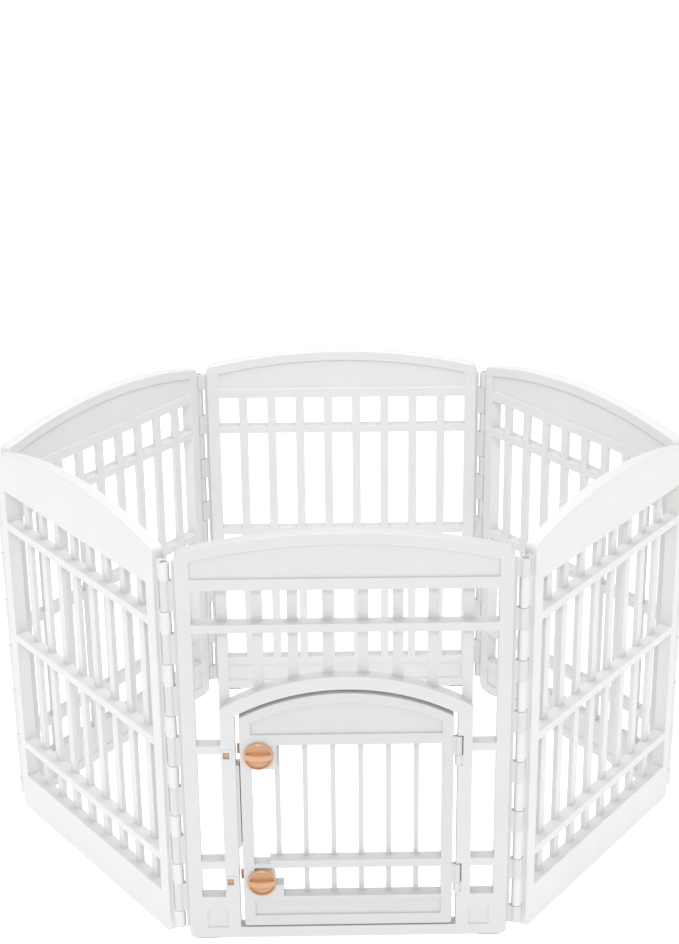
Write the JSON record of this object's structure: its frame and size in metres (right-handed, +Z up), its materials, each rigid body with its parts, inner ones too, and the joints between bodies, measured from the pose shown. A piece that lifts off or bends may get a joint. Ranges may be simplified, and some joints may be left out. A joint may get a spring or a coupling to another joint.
{
  "type": "pet playpen",
  "caption": "Six-sided freestanding pet pen of hinged white plastic grille panels with arched tops and a small arched door held shut by two round turn latches.",
  "frame": {"origin": "on the floor under the middle of the whole pen's box, door shut and ring standing open", "axes": "+Z up; +X to the right along the front panel; -Y out through the door"},
  "size_m": [1.438, 1.1244, 0.864],
  "materials": {
    "panel_plastic": "satin moulded, warm white",
    "frame_plastic": "satin moulded, white",
    "door_plastic": "satin moulded, white",
    "tan_plastic": "satin tan",
    "rubber": "matt",
    "rod_steel": "plated",
    "screw_steel": "plated"
  },
  "bodies": {
    "front_frame": {"front_frame": "frame_plastic", "feet_front": "rubber", "hinge_rod_front_right": "rod_steel", "keeper_upper": "tan_plastic", "keeper_lower": "tan_plastic", "door_pin_upper": "rod_steel", "door_pin_lower": "rod_steel"},
    "panel_front_right": {"panel_front_right": "panel_plastic", "feet_front_right": "rubber", "hinge_rod_right": "rod_steel"},
    "panel_rear_right": {"panel_rear_right": "panel_plastic", "feet_rear_right": "rubber", "hinge_rod_rear_right": "rod_steel"},
    "panel_back": {"panel_back": "panel_plastic", "feet_back": "rubber", "hinge_rod_rear_left": "rod_steel"},
    "panel_rear_left": {"panel_rear_left": "panel_plastic", "feet_rear_left": "rubber", "hinge_rod_left": "rod_steel"},
    "panel_front_left": {"panel_front_left": "panel_plastic", "feet_front_left": "rubber", "hinge_rod_front_left": "rod_steel"},
    "door": {"door_leaf": "door_plastic"},
    "latch_upper": {"latch_knob_upper": "tan_plastic", "latch_lever_upper": "tan_plastic", "lever_screw_upper": "screw_steel"},
    "latch_lower": {"latch_knob_lower": "tan_plastic", "latch_lever_lower": "tan_plastic", "lever_screw_lower": "screw_steel"}
  },
  "joints": [
    {"name": "corner_front_left", "type": "hinge", "parent": "front_frame", "child": "panel_front_left", "pos_m": [-0.33, -0.53284, 0], "axis": [0, 0, 1], "range_deg": [-35, 15]},
    {"name": "corner_left", "type": "hinge", "parent": "panel_front_left", "child": "panel_rear_left", "pos_m": [-0.70856, 0.0078, 0], "axis": [0, 0, 1], "range_deg": [-30, 70]},
    {"name": "corner_rear_left", "type": "hinge", "parent": "panel_rear_left", "child": "panel_back", "pos_m": [-0.33, 0.54844, 0], "axis": [0, 0, 1], "range_deg": [-35, 15]},
    {"name": "corner_front_right", "type": "hinge", "parent": "front_frame", "child": "panel_front_right", "pos_m": [0.33, -0.53284, 0], "axis": [0, 0, 1], "range_deg": [-15, 35]},
    {"name": "corner_right", "type": "hinge", "parent": "panel_front_right", "child": "panel_rear_right", "pos_m": [0.70856, 0.0078, 0], "axis": [0, 0, 1], "range_deg": [-70, 30]},
    {"name": "door_swing", "type": "hinge", "parent": "front_frame", "child": "door", "pos_m": [0.21263, -0.54159, 0], "axis": [0, 0, 1], "range_deg": [0, 110]},
    {"name": "latch_upper_turn", "type": "hinge", "parent": "door", "child": "latch_upper", "pos_m": [-0.16703, -0.53284, 0.41], "axis": [0, 1, 0], "range_deg": [0, 90]},
    {"name": "latch_lower_turn", "type": "hinge", "parent": "door", "child": "latch_lower", "pos_m": [-0.16703, -0.53284, 0.131], "axis": [0, 1, 0], "range_deg": [0, 90]}
  ],
  "couplings": [
    {"joint": "corner_left", "follows": "corner_front_left", "ratio": -2},
    {"joint": "corner_rear_left", "follows": "corner_front_left", "ratio": 1},
    {"joint": "corner_front_right", "follows": "corner_front_left", "ratio": -1},
    {"joint": "corner_right", "follows": "corner_front_left", "ratio": 2}
  ]
}
